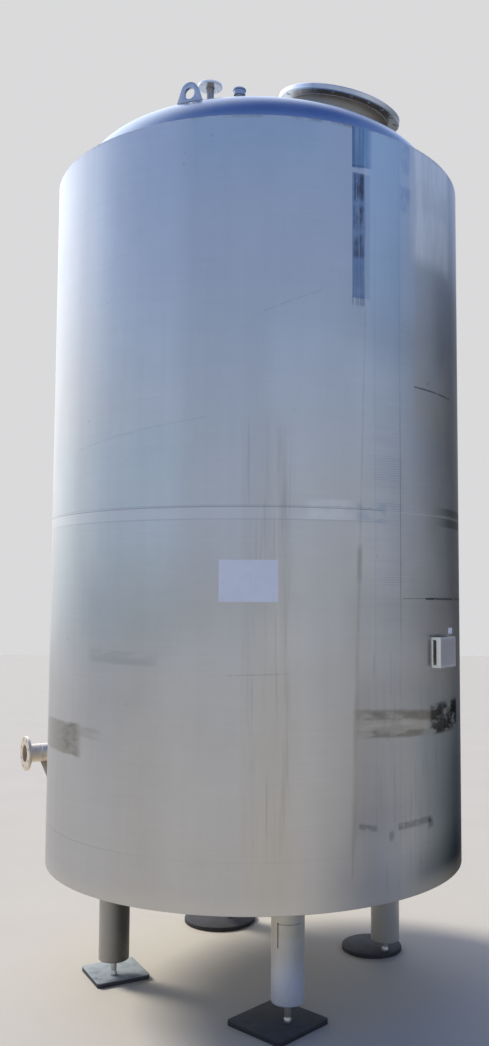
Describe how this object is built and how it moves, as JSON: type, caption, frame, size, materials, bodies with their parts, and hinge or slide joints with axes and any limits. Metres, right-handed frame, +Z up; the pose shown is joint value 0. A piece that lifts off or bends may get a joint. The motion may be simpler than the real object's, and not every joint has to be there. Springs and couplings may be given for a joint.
{
  "type": "vertical storage tank",
  "caption": "Upright round stainless storage tank with an insulated jacket, dished roof with open manhole, vent and lifting lugs, a bent side nozzle and tubular legs on loose pads.",
  "frame": {"origin": "on the floor, under the middle of the tank's outline seen from above", "axes": "+Z up along the tank, -Y towards the front with the sign, -X towards the side nozzle"},
  "size_m": [2.7952, 2.5012, 5.3257],
  "materials": {
    "jacket_steel": "ground and brushed",
    "roof_steel": "smooth",
    "vessel_steel": "mill",
    "fitting_steel": "satin",
    "leg_steel": "dull, weathered",
    "pad_rubber": "matte, dusty",
    "plate_steel": "matte",
    "sign_plastic": "matte"
  },
  "bodies": {
    "root": {"jacket_lower_front": "jacket_steel", "jacket_lower_right": "jacket_steel", "jacket_lower_rear": "jacket_steel", "jacket_lower_left": "jacket_steel", "jacket_upper_front": "jacket_steel", "jacket_upper_right": "jacket_steel", "jacket_upper_rear": "jacket_steel", "jacket_upper_left": "jacket_steel", "jacket_bottom_plate": "jacket_steel", "jacket_shoulder_ring": "jacket_steel", "vessel_wall_front": "vessel_steel", "vessel_wall_right": "vessel_steel", "vessel_wall_rear": "vessel_steel", "vessel_wall_left": "vessel_steel", "vessel_bottom": "vessel_steel", "roof_knuckle_front": "roof_steel", "roof_knuckle_right": "roof_steel", "roof_knuckle_rear": "roof_steel", "roof_knuckle_left": "roof_steel", "roof_crown_front": "roof_steel", "roof_crown_right": "roof_steel", "roof_crown_rear": "roof_steel", "roof_crown_left": "roof_steel", "roof_manhole_ring": "roof_steel", "manhole_neck": "fitting_steel", "manhole_flange_outer_left": "fitting_steel", "manhole_flange_inner_left": "fitting_steel", "manhole_flange_inner_right": "fitting_steel", "manhole_flange_outer_right": "fitting_steel", "vent_pipe": "fitting_steel", "vent_flange": "fitting_steel", "roof_socket": "fitting_steel", "roof_socket_cap": "fitting_steel", "lifting_lug_front": "fitting_steel", "lifting_lug_rear": "fitting_steel", "side_nozzle_stub": "fitting_steel", "side_nozzle_elbow": "fitting_steel", "side_nozzle_end": "fitting_steel", "side_nozzle_flange": "fitting_steel", "side_nozzle_gusset": "fitting_steel", "leg_front": "leg_steel", "leg_right": "leg_steel", "leg_rear": "leg_steel", "leg_left": "leg_steel", "spindle_front": "leg_steel", "spindle_right": "leg_steel", "spindle_rear": "leg_steel", "spindle_left": "leg_steel", "pad_front": "pad_rubber", "pad_right": "pad_rubber", "pad_rear": "pad_rubber", "pad_left": "pad_rubber", "name_plate_bracket": "plate_steel", "name_plate": "plate_steel", "sign_sheet": "sign_plastic"}
  },
  "joints": []
}
